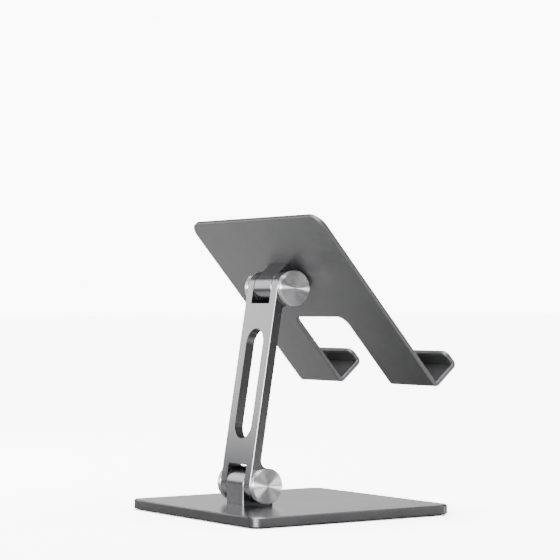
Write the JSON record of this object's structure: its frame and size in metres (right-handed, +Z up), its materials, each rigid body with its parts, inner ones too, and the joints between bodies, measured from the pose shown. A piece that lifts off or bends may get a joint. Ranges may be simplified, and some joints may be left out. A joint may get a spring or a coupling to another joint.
{
  "type": "tablet stand",
  "caption": "Desk stand for a tablet: square base, slotted forked arm and a tilting tray with hooked feet, joined by friction hinges with round side caps.",
  "frame": {"origin": "centre of the underside of the base pad, where it rests on the desk", "axes": "+X along both hinge axes, to the right as the user sees the stand; -Y towards the user, so the tray's front faces -Y and up; +Z up"},
  "size_m": [0.132, 0.1364, 0.1684],
  "materials": {
    "anodised_grey": "fine bead-blasted and grey anodised, soft sheen",
    "anodised_grey_tray": "fine bead-blasted and grey anodised sheet, soft sheen",
    "turned_aluminium": "silver, with fine concentric turning marks",
    "axle_steel": "zinc-plated",
    "screw_steel": "black oxide",
    "spring_steel": "plain hardened spring steel",
    "washer_polymer": "filled low-wear polymer, grey",
    "silicone_black": "matt silicone, black"
  },
  "bodies": {
    "base": {"base_plate": "anodised_grey", "base_pad": "silicone_black", "base_knuckle": "anodised_grey", "base_knuckle_screws": "screw_steel"},
    "arm": {"arm": "anodised_grey", "lower_axle": "axle_steel", "lower_axle_nut": "axle_steel", "lower_friction_washers": "washer_polymer", "lower_spring_washers": "spring_steel", "lower_knob_left": "turned_aluminium", "lower_knob_right": "turned_aluminium", "upper_axle": "axle_steel", "upper_axle_nut": "axle_steel", "upper_friction_washers": "washer_polymer", "upper_spring_washers": "spring_steel", "upper_knob_left": "turned_aluminium", "upper_knob_right": "turned_aluminium"},
    "tray": {"tray_plate": "anodised_grey_tray", "tray_knuckle": "anodised_grey", "tray_knuckle_screws": "screw_steel", "tray_pad": "silicone_black", "hook_pad_left": "silicone_black", "hook_pad_right": "silicone_black"}
  },
  "joints": [
    {"name": "base_hinge", "type": "hinge", "parent": "base", "child": "arm", "pos_m": [0, 0.0268, 0.0175], "axis": [1, 0, 0], "range_deg": [-35, 35]},
    {"name": "tray_hinge", "type": "hinge", "parent": "arm", "child": "tray", "pos_m": [0, 0.00823, 0.12846], "axis": [1, 0, 0], "range_deg": [-80, 50]}
  ]
}
